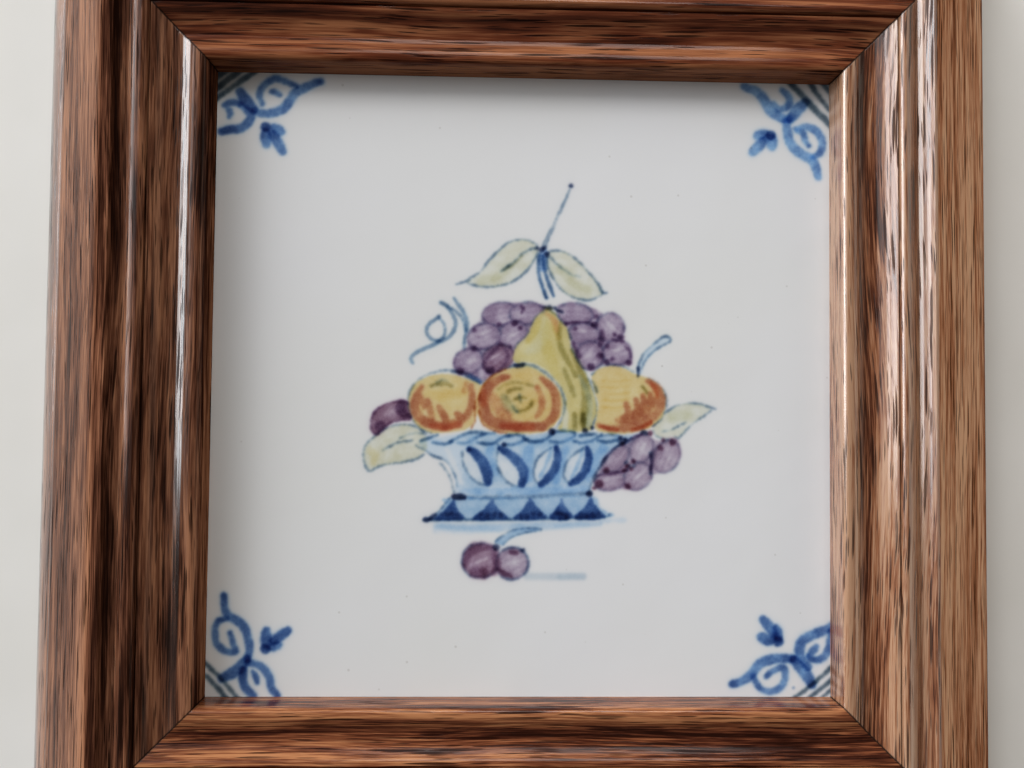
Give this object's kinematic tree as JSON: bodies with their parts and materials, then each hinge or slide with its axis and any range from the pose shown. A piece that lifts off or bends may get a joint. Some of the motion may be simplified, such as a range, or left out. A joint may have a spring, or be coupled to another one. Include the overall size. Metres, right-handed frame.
{
  "type": "framed delft tile",
  "caption": "Square hand-painted tin-glazed wall tile with a fruit basket, held face up in a mitred frame of dark stained oak moulding.",
  "frame": {"origin": "under the middle of the frame, on the plane of the rails' backs", "axes": "+Z out of the picture side, +Y towards the picture's top, +X towards its right"},
  "size_m": [0.1914, 0.1914, 0.0212],
  "materials": {
    "tin_glaze": "glossy tin glaze, hand painted, unglazed buff clay on the sides and back",
    "stained_oak": "dark stained and varnished, open grain",
    "hardboard": "matt pressed board",
    "brad_steel": "plain drawn wire, slightly dulled"
  },
  "bodies": {
    "root": {"tile": "tin_glaze", "backing_board": "hardboard", "rail_bottom": "stained_oak", "rail_right": "stained_oak", "rail_top": "stained_oak", "rail_left": "stained_oak", "brad_bottom_1": "brad_steel", "brad_bottom_2": "brad_steel", "brad_right_1": "brad_steel", "brad_right_2": "brad_steel", "brad_top_1": "brad_steel", "brad_top_2": "brad_steel", "brad_left_1": "brad_steel", "brad_left_2": "brad_steel"}
  },
  "joints": []
}
